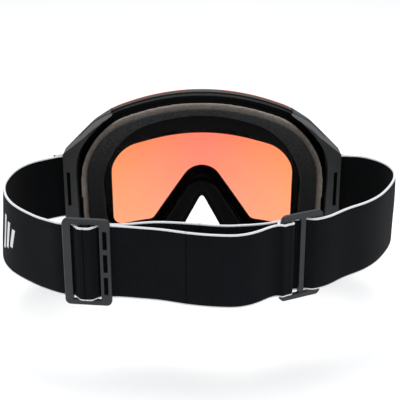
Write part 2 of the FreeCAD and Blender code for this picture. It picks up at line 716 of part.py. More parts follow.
def pad_zone(name, fit):
    """The leaf-shaped column that a grip pad is cut from."""
    leaf = add("Part::Ellipse", f"{name}_leaf")
    bind(
        leaf,
        MajorRadius=f"Sizes.pad_length / 2 + {fit}",
        MinorRadius=f"Sizes.pad_width / 2 + {fit}",
        Placement__Base__x="Sizes.half_width - Sizes.pad_centre_x",
        Placement__Base__y="Sizes.pad_centre_y",
    )
    leaf.Placement.Rotation = FreeCAD.Rotation(Z_AXIS, size("Sizes.pad_turn"))
    column = pillar(f"{name}_column", leaf)
    upper = block(
        f"{name}_upper",
        x=("0", str(REACH / 2)),
        y=(str(-FRONT_REACH), str(BACK_REACH)),
        z=("0", str(REACH / 2)),
    )
    return common(name, column, upper)


pad_top_prism = through("PadTopPrism", grown("PadTop", arm_outline, "Sizes.pad_proud"))
pad_floor_prism = through("PadFloorPrism", grown("PadFloor", arm_outline, "-Sizes.pad_depth"))
seat_floor_prism = through(
    "SeatFloorPrism", grown("SeatFloor", arm_outline, "-Sizes.pad_depth - Sizes.pad_fit")
)
groove_prism = through("GroovePrism", grown("GrooveFloor", arm_outline, "-Sizes.pad_proud"))
pad_shell = cut("pad_shell", cut("pad_skin", pad_top_prism, pad_floor_prism), arm_inner_prism)
pad_front = curved_face("PadFront", f"{SEAT_Y} + 0.6", LENS_R)
pad_leaf = common("pad_leaf", pad_zone("pad_zone", "0"), pad_front)
pad_blank = common("pad_blank", pad_shell, pad_leaf)
grooves = []
for k in range(1, 5):
    near = f"{SEAT_Y} + {k} * Sizes.ridge_pitch + 1"
    far = curved_face(f"GrooveBack{k}", f"{near} + Sizes.ridge_groove", LENS_R)
    grooves.append(cut(f"groove_{k}", curved_face(f"GrooveFront{k}", near, LENS_R), far))
groove_band = cut("groove_band", pad_top_prism, groove_prism)
ridge_cut = common("ridge_cut", groove_band, fuse("groove_set", grooves))
parts["left_grip_pad"] = cut("left_grip_pad", pad_blank, ridge_cut)
parts["right_grip_pad"] = mirror("right_grip_pad", parts["left_grip_pad"])
pad_seat = common(
    "pad_seat",
    cut("seat_skin", pad_top_prism, seat_floor_prism),
    pad_zone("seat_zone", "Sizes.pad_fit"),
)
arm_tools = fuse("arm_tools", [pocket, rear_slot, pin_hole, pad_seat])
parts["left_outrigger"] = cut("left_outrigger", arm_blank, arm_tools)
parts["right_outrigger"] = mirror("right_outrigger", parts["left_outrigger"])

doc.recompute()

# ---- sliders: three bars between two rails ------------------------------------------------------

SLIDER_LENGTH = (
    "(Sizes.outer_bar + Sizes.centre_bar + Sizes.inner_bar + 2 * Sizes.slider_window)"
)
# the slider's own X runs from its inner bar (-) to its outer bar (+), zero at the middle bar
OUTER_END = "(Sizes.centre_bar / 2 + Sizes.slider_window + Sizes.outer_bar)"
INNER_END = "(-Sizes.centre_bar / 2 - Sizes.slider_window - Sizes.inner_bar)"
HALF_WINDOW = "(Sizes.slider_height / 2 - Sizes.rail_height)"


def plane_of(body, role):
    return next(f for f in body.Origin.OriginFeatures if f.Role == role)


def rectangle_sketch(body, name, bounds):
    """A sketch on the body's XZ plane of rectangles, each by its four bounding expressions."""
    sketch = body.newObject("Sketcher::SketchObject", name)
    sketch.AttachmentSupport = [(plane_of(body, "XZ_Plane"), "")]
    sketch.MapMode = "FlatFace"
    for k, (left, right, low, high) in enumerate(bounds):
        x0, x1, y0, y1 = (size(e) for e in (left, right, low, high))
        ends = [V(x0, y0, 0), V(x1, y0, 0), V(x1, y1, 0), V(x0, y1, 0)]
        first = 4 * k
        for side in range(4):
            sketch.addGeometry(Part.LineSegment(ends[side], ends[(side + 1) % 4]), False)
        for side in range(4):
            following = first + (side + 1) % 4
            sketch.addConstraint(
                Sketcher.Constraint("Coincident", first + side, 2, following, 1)
            )
            level = "Horizontal" if side % 2 == 0 else "Vertical"
            sketch.addConstraint(Sketcher.Constraint(level, first + side))
        for what, corner, expression, value in (
            ("DistanceX", first, left, x0),
            ("DistanceY", first, low, y0),
            ("DistanceX", first + 2, right, x1),
            ("DistanceY", first + 2, high, y1),
        ):
            label = f"{what}_{corner}"
            index = sketch.addConstraint(Sketcher.Constraint(what, -1, 1, corner, 1, value))
            sketch.renameConstraint(index, label)
            sketch.setExpression(f"Constraints.{label}", expression)
    return sketch


def symmetric_feature(body, kind, name, sketch, length):
    """A Pad or Pocket to both sides of its sketch."""
    made = body.newObject(f"PartDesign::{kind}", name)
    made.Profile = sketch
    made.SideType = "Symmetric"
    made.setExpression("Length", length)
    return made


def upright_edges(shape, x, z, slack=0.01):
    """Names of the edges along Y at the given distances from the middle."""
    found = []
    for k, edge in enumerate(shape.Edges, start=1):
        a, b = edge.Vertexes[0].Point, edge.Vertexes[-1].Point
        along_y = abs(a.x - b.x) < slack and abs(a.z - b.z) < slack
        if along_y and any(abs(a.x - c) < slack for c in x) and abs(abs(a.z) - z) < slack:
            found.append(f"Edge{k}")
    return found


def slider(node):
    """A strap slider as a body: pad, windows, slots, a thinner middle bar, rounded corners."""
    body = add("PartDesign::Body", node)
    half = "Sizes.slider_height / 2"
    plate = rectangle_sketch(
        body, f"{node}_plate", [(INNER_END, OUTER_END, f"-{half}", half)]
    )
    pad = symmetric_feature(body, "Pad", f"{node}_pad", plate, "Sizes.slider_thickness")
    bar = "Sizes.centre_bar / 2"
    window_end = f"({bar} + Sizes.slider_window)"
    opening = rectangle_sketch(
        body,
        f"{node}_opening",
        [(f"-{window_end}", window_end, f"-{HALF_WINDOW}", HALF_WINDOW)],
    )
    through_all = "Sizes.slider_thickness + 2"
    symmetric_feature(body, "Pocket", f"{node}_opening_cut", opening, through_all)
    middle_bar = rectangle_sketch(
        body, f"{node}_bar", [(f"-{bar}", bar, f"-{HALF_WINDOW} - 1", f"{HALF_WINDOW} + 1")]
    )
    symmetric_feature(
        body, "Pad", f"{node}_bar_pad", middle_bar, "Sizes.centre_bar_thickness"
    )
    slot_mid = f"({INNER_END} + Sizes.inner_bar / 2)"
    slots = []
    for step in (-1, 0, 1):
        middle = f"{step} * Sizes.bar_slot_pitch"
        slots.append(
            (
                f"{slot_mid} - Sizes.bar_slot_width / 2",
                f"{slot_mid} + Sizes.bar_slot_width / 2",
                f"{middle} - Sizes.bar_slot_length / 2",
                f"{middle} + Sizes.bar_slot_length / 2",
            )
        )
    slot_sketch = rectangle_sketch(body, f"{node}_slots", slots)
    symmetric_feature(body, "Pocket", f"{node}_slot_cut", slot_sketch, through_all)
    doc.recompute()
    corners = upright_edges(
        body.Shape, (size(INNER_END), size(OUTER_END)), size("Sizes.slider_height / 2")
    )
    cut_plate = body.Tip
    rounding = body.newObject("PartDesign::Fillet", f"{node}_corners")
    rounding.Base = (cut_plate, corners)
    rounding.setExpression("Radius", "Sizes.slider_corner")
    doc.recompute()
    rims = [f.OuterWire.Edges for f in body.Shape.Faces if abs(f.normalAt(0, 0).y) > 0.999]
    outer = max(len(edges) for edges in rims)
    rim_edges = [edge for edges in rims if len(edges) == outer for edge in edges]
    names = [
        f"Edge{k}"
        for k, edge in enumerate(body.Shape.Edges, start=1)
        if any(edge.isSame(other) for other in rim_edges)
    ]
    edge = body.newObject("PartDesign::Chamfer", f"{node}_edges")
    edge.Base = (rounding, names)
    edge.setExpression("Size", "Sizes.slider_edge")
    doc.recompute()
    return body


# ---- the loop that the sliders lie on and the elastic follows ------------------------------------

# the loop's plan from the left wing round the back to the right wing, as shares of its half width
# and of its depth; None stands for a slider
LEFT_RUN = [(0.815, 0.004), (0.9, 0.058), (0.968, 0.146), (1.0, 0.277), (0.991, 0.44)]
LEFT_BACK = [(0.938, 0.59), (0.835, 0.735), (0.735, 0.82)]
BACK_RUN = [(0.34, 0.941), (0.205, 0.951), (0.085, 0.982), (-0.034, 1.0), (-0.153, 0.992)]
RIGHT_BACK = [(-0.655, 0.762), (-0.765, 0.687), (-0.856, 0.597), (-0.943, 0.452)]
RIGHT_RUN = [(-0.994, 0.32), (-0.996, 0.2), (-0.955, 0.11), (-0.88, 0.042), (-0.81, 0.002)]


def slider_place(side):
    """The middle of a slider and the unit vector along it, towards the other side's slider."""
    middle = V(size(f"Sizes.{side}_slider_x"), size(f"Sizes.{side}_slider_y"), 0)
    turn = math.radians(size(f"Sizes.{side}_slider_turn"))
    return middle, V(-math.cos(turn), -math.sin(turn), 0)


def loop_curve():
    """The plan curve that both sliders lie on."""
    half = size("Sizes.loop_half_width")
    depth = size("Sizes.loop_depth")
    reach = size(f"{SLIDER_LENGTH} / 2")
    points = [V(size(PIN_X), size("Sizes.pin_y"), 0)]
    points += [V(x * half, y * depth, 0) for x, y in LEFT_RUN + LEFT_BACK]
    for side, following in (("left", BACK_RUN), ("right", RIGHT_BACK + RIGHT_RUN)):
        middle, along = slider_place(side)
        points += [middle - along * reach, middle, middle + along * reach]
        points += [V(x * half, y * depth, 0) for x, y in following]
    points.append(V(-size(PIN_X), size("Sizes.pin_y"), 0))
    curve = Part.BSplineCurve()
    curve.interpolate(points)
    return curve


# ---- elastic bands -------------------------------------------------------------------------------

LOOP = loop_curve()


def distance_of(point):
    """How far along the loop a point on it lies."""
    return LOOP.length(LOOP.FirstParameter, LOOP.parameter(point))


def beside_loop(distance, out):
    """The point at a distance along the loop, out from it by a step."""
    at = LOOP.parameterAtDistance(distance)
    along = LOOP.tangent(at)[0]
    return LOOP.value(at) + V(along.y, -along.x, 0) * out


def beside_slider(side, along_by, out):
    """The point along a slider's middle plane, out from it by a step."""
    middle, along = slider_place(side)
    return middle + along * along_by + V(along.y, -along.x, 0) * out


def flat_to_band(face):
    """A plan face run over the elastic's whole width."""
    height = size("Sizes.strap_height")
    return face.translated(V(0, 0, -height / 2)).extrude(V(0, 0, height))


def ribbon(route, steps=5):
    """Elastic whose middle follows a route of points in plan."""
    middle = Part.BSplineCurve()
    middle.interpolate(route)
    half = size("Sizes.strap_thickness / 2")
    count = steps * (len(route) - 1)
    first, last = middle.FirstParameter, middle.LastParameter
    sides = ([], [])
    for k in range(count + 1):
        at = first + (last - first) * k / count
        along = middle.tangent(at)[0]
        outward = V(along.y, -along.x, 0)
        sides[0].append(middle.value(at) + outward * half)
        sides[1].append(middle.value(at) - outward * half)
    edges = []
    for points in sides:
        side = Part.BSplineCurve()
        side.interpolate(points)
        edges.append(side.toShape())
    for end in (0, -1):
        edges.append(Part.LineSegment(sides[0][end], sides[1][end]).toShape())
    return flat_to_band(Part.Face(Part.Wire(Part.__sortEdges__(edges))))


def bar_eye(side, low, high, bar_thickness):
    """The eye sewn round a slider's bar, and the room inside it."""
    middle, along = slider_place(side)
    outward = V(along.y, -along.x, 0)
    half = bar_thickness / 2
    plan = [(low, -half), (high, -half), (high, half), (low, half), (low, -half)]
    bar = Part.Face(Part.makePolygon([middle + along * a + outward * b for a, b in plan]))
    room = bar.makeOffset2D(bar_gap)
    return flat_to_band(bar.makeOffset2D(bar_gap + elastic)), flat_to_band(room)


def pin_eye(x):
    """The eye round a strap pin, and the room inside it."""
    inside = size("Sizes.pin_radius") + layer_gap
    centre = V(x, size("Sizes.pin_y"), 0)
    discs = [Part.Face(Part.Wire(Part.makeCircle(r, centre))) for r in (inside + elastic, inside)]
    return [flat_to_band(disc) for disc in discs]


def band(node, route, eyes):
    """One piece of elastic: a ribbon with an eye at each end."""
    shape = ribbon(route)
    for eye, _ in eyes:
        shape = shape.fuse(eye)
    for _, room in eyes:
        shape = shape.cut(room)
    made = add("Part::Feature", node)
    made.Shape = shape.removeSplitter()
    return made


elastic = size("Sizes.strap_thickness")
bar_gap = size("Sizes.bar_gap")
layer_gap = size("Sizes.layer_gap")
# steps out from the sliders' middle plane: elastic against a side bar, against the middle bar,
# over an eye on the middle bar, and behind an eye on the inner bar
on_bar = size("Sizes.slider_thickness / 2") + bar_gap + elastic / 2
on_middle = size("Sizes.centre_bar_thickness / 2") + bar_gap + elastic / 2
crest = on_middle + elastic + layer_gap
behind_eye = on_bar + elastic + layer_gap
half_middle_bar = size("Sizes.centre_bar / 2")
shoulder = half_middle_bar + bar_gap + elastic + layer_gap
window_edge = half_middle_bar + size("Sizes.slider_window")
outer_end = size(OUTER_END)
inner_end = -size(INNER_END)
inner_middle = (window_edge + inner_end) / 2
left_at = distance_of(slider_place("left")[0])
right_at = distance_of(slider_place("right")[0])
loop_end = LOOP.length()
span = right_at - left_at
lead = size("Sizes.strap_lead")
sag = size("Sizes.layer_sag")

# left band: behind the left slider's outer bar, over the middle bar, behind the inner bar, then
# the outer layer across the back, to an eye on the right slider's inner bar
rise = [
    (outer_end, -on_bar),
    (window_edge + elastic / 2, -on_bar),
    (window_edge - elastic / 2, -on_bar + elastic / 7),
    ((window_edge + shoulder) / 2, 0),
    (shoulder + elastic / 2, crest / 2),
    (shoulder - elastic / 7, crest - elastic / 3),
    (half_middle_bar, crest),
]
left_route = [beside_loop((left_at - lead) * k / 8, 0) for k in range(9)]
left_route += [beside_slider("left", -s, out) for s, out in rise]
left_route += [beside_slider("left", s, out) for s, out in reversed(rise)]
for share, out in ((0.28, -2), (0.45, -1), (0.62, 0.5)):
    left_route.append(beside_loop(left_at + share * span, out))
left_route.append(beside_slider("right", -inner_end - lead / 2, on_bar - elastic / 5))
left_route += [beside_slider("right", -s, on_bar) for s in (inner_end, inner_middle)]
parts["left_strap_band"] = band(
    "left_strap_band",
    left_route,
    [
        pin_eye(size(PIN_X)),
        bar_eye("right", -inner_end, -window_edge, size("Sizes.slider_thickness")),
    ],
)

# right band: over the right slider's outer bar, behind its middle bar and the eye on its inner
# bar, then the inner layer across the back, to an eye on the left slider's middle bar
arrive = [
    (0, -on_middle),
    (half_middle_bar, -on_middle - elastic / 14),
    (shoulder + elastic, -behind_eye + elastic / 2),
    (window_edge, -behind_eye),
    (inner_end, -behind_eye - elastic / 7),
]
right_route = [beside_slider("left", s, out) for s, out in arrive]
for share, deeper in ((0.22, 0.2), (0.35, 0.65), (0.5, 1), (0.65, 0.6)):
    right_route.append(beside_loop(left_at + share * span, -behind_eye - sag * deeper))
right_route += [beside_slider("right", -s, out) for s, out in reversed(arrive)]
pass_out = [
    (half_middle_bar, -on_middle - elastic / 14),
    (half_middle_bar + elastic, -on_middle / 2),
    ((window_edge + half_middle_bar) / 2, on_bar / 5),
    (window_edge - elastic / 2, on_bar - elastic / 7),
    (window_edge + elastic / 2, on_bar),
    (outer_end, on_bar),
]
right_route += [beside_slider("right", s, out) for s, out in pass_out]
rest_of_loop = loop_end - right_at - lead
right_route += [beside_loop(loop_end - rest_of_loop * k / 8, 0) for k in range(8, -1, -1)]
parts["right_strap_band"] = band(
    "right_strap_band",
    right_route,
    [
        bar_eye(
            "left", -half_middle_bar, half_middle_bar, size("Sizes.centre_bar_thickness")
        ),
        pin_eye(-size(PIN_X)),
    ],
)

for side, half_turn in (("left", 0), ("right", 180)):
    made = slider(f"{side}_slider")
    turn = size(f"Sizes.{side}_slider_turn") + half_turn
    made.Placement = FreeCAD.Placement(
        slider_place(side)[0], FreeCAD.Rotation(Z_AXIS, turn)
    )
    parts[f"{side}_slider"] = made

# ---- checks, placing and writing ------------------------------------------------------------------

doc.recompute()
for made in doc.Objects:
    if "Invalid" in made.State or "Error" in made.State:
        raise RuntimeError(f"{made.Name} is {made.State}")

whole = FreeCAD.BoundBox()
for node, made in parts.items():
    made.Label = node
    if made.Shape.isNull() or not made.Shape.isValid() or not made.Shape.Solids:
        raise RuntimeError(f"{node} has no sound shape")
    whole.add(made.Shape.BoundBox)

# the origin: in the plane of symmetry, half way from front to back, at the foot
to_origin = FreeCAD.Placement(
    V(0, -(whole.YMin + whole.YMax) / 2, -whole.ZMin),
    FreeCAD.Rotation(),
)
os.makedirs("parts", exist_ok=True)
for node, made in parts.items():
    made.Placement = to_origin * made.Placement
    made.Shape.exportStep(f"parts/{node}.step")
    print(node, round(made.Shape.Volume, 1))
print("origin moved by", to_origin.Base)
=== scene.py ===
import math

import bmesh
import bpy
import numpy as np
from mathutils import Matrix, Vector


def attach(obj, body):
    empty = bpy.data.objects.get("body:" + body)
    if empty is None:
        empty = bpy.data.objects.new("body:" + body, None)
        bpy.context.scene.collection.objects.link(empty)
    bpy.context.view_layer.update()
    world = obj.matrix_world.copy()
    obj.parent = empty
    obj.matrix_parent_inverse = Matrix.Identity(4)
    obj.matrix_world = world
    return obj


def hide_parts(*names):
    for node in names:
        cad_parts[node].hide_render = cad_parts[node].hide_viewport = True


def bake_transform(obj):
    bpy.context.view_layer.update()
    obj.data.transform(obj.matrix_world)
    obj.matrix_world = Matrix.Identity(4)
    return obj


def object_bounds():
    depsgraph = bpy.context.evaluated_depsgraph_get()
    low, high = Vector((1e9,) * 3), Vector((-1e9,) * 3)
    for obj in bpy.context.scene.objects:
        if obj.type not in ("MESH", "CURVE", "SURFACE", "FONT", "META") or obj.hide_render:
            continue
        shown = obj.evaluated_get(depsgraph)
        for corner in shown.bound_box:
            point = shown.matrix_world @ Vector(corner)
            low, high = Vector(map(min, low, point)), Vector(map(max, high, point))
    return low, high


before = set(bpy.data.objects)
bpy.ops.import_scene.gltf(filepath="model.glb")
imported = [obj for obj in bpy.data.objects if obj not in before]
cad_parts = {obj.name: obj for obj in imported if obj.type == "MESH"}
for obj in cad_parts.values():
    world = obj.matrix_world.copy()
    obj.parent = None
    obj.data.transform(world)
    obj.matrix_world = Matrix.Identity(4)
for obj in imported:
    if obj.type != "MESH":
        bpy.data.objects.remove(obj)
cad_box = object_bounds()
scene = bpy.context.scene
MM = 0.001

# ---- camera and light ----------------------------------------------------------------------------

CAMERA_TILT = 20.5
camera_data = bpy.data.cameras.new("camera")
camera_data.lens = 84.96
camera_data.sensor_width = 36.0
camera_data.clip_start, camera_data.clip_end = 0.01, 50.0
camera = bpy.data.objects.new("camera", camera_data)
camera.location = (0.0013, 0.5481, 0.2656)
camera.rotation_euler = (math.radians(90 - CAMERA_TILT), 0, math.radians(180))
scene.collection.objects.link(camera)
scene.camera = camera

scene.view_settings.view_transform = "Standard"
scene.view_settings.look = "None"
world = bpy.data.worlds.new("studio")
scene.world = world
world.use_nodes = True
world.node_tree.nodes["Background"].inputs["Color"].default_value = (0.96, 0.98, 1.0, 1.0)
world.node_tree.nodes["Background"].inputs["Strength"].default_value = 0.5


def lamp(name, kind, energy, place, target, **settings):
    """A lamp that looks at a point."""
    data = bpy.data.lights.new(name, kind)
    data.energy = energy
    for key, value in settings.items():
        setattr(data, key, value)
    made = bpy.data.objects.new(name, data)
    made.location = place
    aim = Vector(target) - Vector(place)
    made.rotation_euler = aim.to_track_quat("-Z", "Y").to_euler()
    scene.collection.objects.link(made)
    return made


lamp("overhead_sun", "SUN", 1.55, (0.1, -0.45, 1.6), (0, 0, 0), angle=math.radians(70))
lamp("brow_softbox", "AREA", 4.0, (0.0, -0.25, 0.9), (0, -0.06, 0.08), size=0.7)
lamp("camera_softbox", "AREA", 1.2, (-0.35, 0.9, 0.55), (0, 0.05, 0.05), size=0.5)

# ---- materials -----------------------------------------------------------------------------------


class Look:
    """A Principled material with helpers for its textures."""

    def __init__(self, name, **constants):
        self.material = bpy.data.materials.new(name)
        self.material.use_nodes = True
        self.tree = self.material.node_tree
        self.shader = self.tree.nodes["Principled BSDF"]
        self.coordinates = self.tree.nodes.new("ShaderNodeTexCoord")
        for key, value in constants.items():
            self.shader.inputs[key.replace("_", " ")].default_value = value

    def node(self, kind, inputs=(), **settings):
        made = self.tree.nodes.new("ShaderNode" + kind)
        for key, value in settings.items():
            setattr(made, key, value)
        for key, value in dict(inputs).items():
            if isinstance(value, bpy.types.NodeSocket):
                self.tree.links.new(value, made.inputs[key])
            else:
                made.inputs[key].default_value = value
        return made

    def place(self, source="Object", scale=(1, 1, 1), turn=(0, 0, 0)):
        """Texture coordinates, in millimetres before the scale."""
        big = tuple(s / MM for s in scale) if source == "Object" else scale
        inputs = {"Vector": self.coordinates.outputs[source], "Scale": big, "Rotation": turn}
        return self.node("Mapping", inputs).outputs["Vector"]

    def noise(self, size, detail=3.0, rough=0.55, at=None):
        """Noise with features about size millimetres across."""
        inputs = {
            "Vector": at or self.place(),
            "Scale": 1.0 / size,
            "Detail": detail,
            "Roughness": rough,
        }
        return self.node("TexNoise", inputs).outputs["Fac"]

    def cells(self, size, at=None, feature="F1"):
        inputs = {"Vector": at or self.place(), "Scale": 1.0 / size}
        return self.node("TexVoronoi", inputs, feature=feature).outputs["Distance"]

    def ribs(self, pitch, direction, at=None, distortion=0.0):
        """A sine across one direction, one period to a pitch in millimetres."""
        inputs = {
            "Vector": at or self.place(),
            "Scale": math.pi / 10 / pitch,
            "Distortion": distortion,
            "Detail": 0.0,
        }
        wave = self.node("TexWave", inputs, wave_type="BANDS", bands_direction=direction)
        return wave.outputs["Fac"]

    def ramp(self, value, stops):
        made = self.node("ValToRGB", {"Fac": value})
        points = made.color_ramp.elements
        while len(points) < len(stops):
            points.new(0.5)
        for point, (at, colour) in zip(points, stops):
            point.position = at
            shade = (colour,) * 3 if isinstance(colour, (int, float)) else colour
            point.color = (*shade, 1.0)
        return made.outputs["Color"]

    def sum(self, *parts):
        """Weighted textures added up: (value, weight) pairs."""
        total = None
        for value, weight in parts:
            scaled = self.node("Math", operation="MULTIPLY")
            self.tree.links.new(value, scaled.inputs[0])
            scaled.inputs[1].default_value = weight
            if total is None:
                total = scaled.outputs[0]
                continue
            added = self.node("Math", operation="ADD")
            self.tree.links.new(total, added.inputs[0])
            self.tree.links.new(scaled.outputs[0], added.inputs[1])
            total = added.outputs[0]
        return total

    def times(self, one, other):
        made = self.node("Math", operation="MULTIPLY")
        self.tree.links.new(one, made.inputs[0])
        self.tree.links.new(other, made.inputs[1])
        return made.outputs[0]

    def colour(self, value, stops):
        self.tree.links.new(self.ramp(value, stops), self.shader.inputs["Base Color"])

    def roughness(self, value, low, high):
        self.tree.links.new(
            self.ramp(value, [(0.25, low), (0.75, high)]), self.shader.inputs["Roughness"]
        )

    def bump(self, height, depth, strength=1.0):
        """Relief of a height texture, depth in millimetres."""
        inputs = {"Height": height, "Distance": depth * MM, "Strength": strength}
        made = self.node("Bump", inputs)
        self.tree.links.new(made.outputs["Normal"], self.shader.inputs["Normal"])

    def away(self, centre, near, far):
        """0 near a point of the upright plane (x, z), 1 beyond the far distance, in millimetres."""
        at = self.place(scale=(1 / far, 0, 1 / far))
        middle = (-centre[0] / far, 0.0, -centre[1] / far)
        moved = self.node("VectorMath", {0: at, 1: middle}, operation="ADD").outputs[0]
        distance = self.node("VectorMath", {0: moved}, operation="LENGTH").outputs["Value"]
        return self.ramp(distance, [(near / far, 0.0), (1.0, 1.0)])

    def outward(self, centre, low, high, across="Z"):
        """0 on walls that face a place (x and z, or x and y, in millimetres), 1 on outer ones.

        low and high bound the change, from -1 straight at the place to 1 straight away."""
        upright = across == "Z"
        at = self.place(scale=(1.0, 0.0, 1.0) if upright else (1.0, 1.0, 0.0))
        middle = (-centre[0], 0.0, -centre[1]) if upright else (-centre[0], -centre[1], 0.0)
        arm = self.node("VectorMath", {0: at, 1: middle}, operation="ADD").outputs[0]
        ahead = self.node("VectorMath", {0: arm}, operation="NORMALIZE").outputs[0]
        normal = self.node("NewGeometry").outputs["Normal"]
        facing = self.node("VectorMath", {0: ahead, 1: normal}, operation="DOT_PRODUCT")
        inputs = {"Value": facing.outputs["Value"], "From Min": low, "From Max": high}
        return self.node("MapRange", inputs, clamp=True).outputs["Result"]

    def height(self, low, high):
        """0 below one height, 1 above another, in millimetres."""
        at = self.place(scale=(0, 0, 1.0))
        split = self.node("SeparateXYZ", {"Vector": at}).outputs["Z"]
        made = self.node(
            "MapRange", {"Value": split, "From Min": low, "From Max": high}, clamp=True
        )
        return made.outputs["Result"]

    def edges(self, value, amount):
        """Adds painted highlights to the convex edges of a texture value."""
        edge_highlight = self.node("NewGeometry").outputs["Pointiness"]
        return self.sum((value, 1.0), (self.ramp(edge_highlight, [(0.52, 0.0), (0.6, 1.0)]), amount))


# places on the goggles' upright plane, x and z in millimetres
NOSE = (0.0, 22.0)
EYES = (0.0, 52.0)
# and the middle of the strap's loop, x and y
LOOP = (0.0, 25.0)


def grey(level, blue=1.06):
    """A dark neutral a little to the blue."""
    return (level, level * (1 + (blue - 1) / 2), level * blue)


def plastic(name, low, high, rough=(0.36, 0.5), grain=0.35, relief=0.02, specular=0.5):
    """Moulded plastic: a fine spark-eroded grain, faint flow marks and painted highlights on its edges.
    """
    look = Look(name, Specular_IOR_Level=specular)
    flow = look.noise(14.0, 4.0)
    fine = look.noise(grain, 2.0)
    # painted highlight: convex edges lighter, where the overhead light catches them
    look.colour(look.edges(look.sum((flow, 0.7), (fine, 0.3)), 0.4), [(0.3, low), (0.95, high)])
    look.roughness(look.sum((look.noise(6.0), 0.6), (fine, 0.4)), *rough)
    look.bump(look.sum((fine, 0.8), (look.cells(grain * 1.3), 0.5)), relief)
    return look.material


def foam(name, stops, pore, relief, specular=0.15, with_painted_shade=False):
    """Open-cell foam: pores in two sizes and slow changes of colour.

    With painted shade the foam goes black round the nose and on the walls that face the eyes, where
    shade falls."""
    look = Look(name, Specular_IOR_Level=specular, Roughness=0.95)
    pores = look.cells(pore)
    small = look.cells(pore * 0.45)
    tone = look.sum((look.noise(5.0, 5.0, 0.7), 0.6), (pores, 0.25), (small, 0.3))
    if with_painted_shade:
        # painted shade: black round the nose and on the walls that face the eyes
        tone = look.times(tone, look.away(NOSE, 36, 50))
        tone = look.times(tone, look.outward(EYES, -0.88, -0.74))
    look.colour(tone, stops)
    look.bump(look.sum((pores, 0.7), (small, 0.5)), relief)
    return look.material


def fleece():
    """Brushed fleece: short matted hairs and soft tufts."""
    look = Look("face_fleece", Specular_IOR_Level=0.04, Roughness=0.97)
    look.shader.inputs["Sheen Weight"].default_value = 0.06
    look.shader.inputs["Sheen Roughness"].default_value = 0.6
    tufts = look.noise(1.3, 6.0, 0.75)
    hairs = look.noise(0.35, 4.0, 0.8, at=look.place(scale=(1.0, 1.0, 0.45)))
    tone = look.sum((tufts, 0.6), (hairs, 0.5))
    # painted shade: the fleece darkens round the nose and towards the bottom
    tone = look.times(tone, look.ramp(look.away(NOSE, 30, 60), [(0.0, 0.15), (1.0, 1.0)]))
    tone = look.times(tone, look.ramp(look.height(30, 92), [(0.0, 0.52), (1.0, 1.0)]))
    look.colour(tone, [(0.22, grey(0.0012)), (0.44, grey(0.012)), (0.6, grey(0.04)), (0.8, grey(0.085))])
    look.bump(look.sum((tufts, 0.8), (hairs, 0.4)), 0.5)
    return look.material


def elastic():
    """Woven elastic: warp cords along the band, weft picks across it."""
    look = Look("strap_elastic", Specular_IOR_Level=0.06, Roughness=0.8)
    look.shader.inputs["Sheen Weight"].default_value = 0.015
    at = look.place("UV", scale=(1, 1, 1))
    weft = look.ribs(0.9, "X", at)
    warp = look.ribs(0.62, "Y", at)
    weave = look.times(weft, warp)
    tone = look.sum((weave, 0.5), (look.noise(0.5, 3.0, at=at), 0.3), (look.noise(18.0), 0.3))
    # painted shade: faces that turn towards the loop's middle are darker
    inner = look.ramp(look.outward(LOOP, -0.3, 0.1, "Y"), [(0.0, 0.3), (1.0, 1.0)])
    tone = look.times(tone, inner)
    look.colour(tone, [(0.1, grey(0.0016, 1.4)), (0.9, grey(0.0095, 1.6))])
    look.bump(look.sum((weave, 0.6), (weft, 0.4)), 0.12)
    return look.material


def piping():
    """The pale yarn that binds the elastic's edges."""
    look = Look("strap_edge_yarn", Specular_IOR_Level=0.2, Roughness=0.8)
    at = look.place("UV", scale=(1, 1, 1))
    twist = look.ribs(0.9, "X", at, 0.6)
    tone = look.sum((twist, 0.6), (look.noise(0.4, 2.0, at=at), 0.4))
    look.colour(tone, [(0.1, (0.55, 0.56, 0.58)), (0.8, (0.9, 0.91, 0.93))])
    look.bump(twist, 0.1)
    return look.material


def tinted_lens():
    """The outer lens: orange at the sides and foot, salmon pink in the middle of the brow."""
    look = Look("lens_orange", Roughness=0.02, IOR=1.2, Specular_IOR_Level=0.5)
    look.shader.inputs["Transmission Weight"].default_value = 1.0
    at = look.place(scale=(1 / 70, 0, 0))
    across = look.node("VectorMath", {0: at}, operation="LENGTH").outputs["Value"]
    drift = look.sum((across, 1.0), (look.noise(40.0, 1.0), 0.1))
    sides = look.ramp(drift, [(0.1, (1.0, 0.17, 0.105)), (0.95, (1.0, 0.215, 0.07))])
    foot = look.ramp(look.height(12, 80), [(0.0, (0.0, 0.16, 0.125)), (1.0, (0.0, 0.0, 0.0))])
    both = look.node("VectorMath", {0: sides, 1: foot}, operation="ADD").outputs[0]
    look.tree.links.new(both, look.shader.inputs["Base Color"])
    return look.material


def clear_lens():
    """The inner lens: clear, with a faint smear of anti-fog coating."""
    look = Look("lens_clear", Roughness=0.02, IOR=1.1)
    look.shader.inputs["Transmission Weight"].default_value = 1.0
    look.colour(look.noise(12.0), [(0.2, (0.97, 0.96, 0.95)), (0.8, (1.0, 0.995, 0.99))])
    return look.material


def steel(name):
    look = Look(name, Metallic=1.0)
    lines = look.noise(0.3, 2.0, at=look.place(scale=(1, 1, 0.05)))
    look.colour(lines, [(0.2, 0.35), (0.8, 0.6)])
    look.roughness(lines, 0.25, 0.45)
    return look.material


def vent_foam():
    """Coarse vent foam behind a fine grille of upright ribs."""
    look = Look("vent_foam", Specular_IOR_Level=0.2, Roughness=0.9)
    ribs = look.ribs(1.9, "X")
    pores = look.cells(0.8)
    look.colour(look.sum((ribs, 0.6), (pores, 0.4)), [(0.1, grey(0.004)), (0.9, grey(0.03))])
    look.bump(look.sum((ribs, 0.8), (pores, 0.5)), 0.4)
    return look.material


def grip_rubber():
    look = Look("grip_rubber", Specular_IOR_Level=0.4)
    fine = look.noise(0.3, 2.0)
    # painted highlight on the grip's convex edges
    look.colour(look.edges(fine, 0.5), [(0.3, grey(0.012)), (0.95, grey(0.05))])
    look.roughness(fine, 0.5, 0.7)
    look.bump(fine, 0.03)
    return look.material


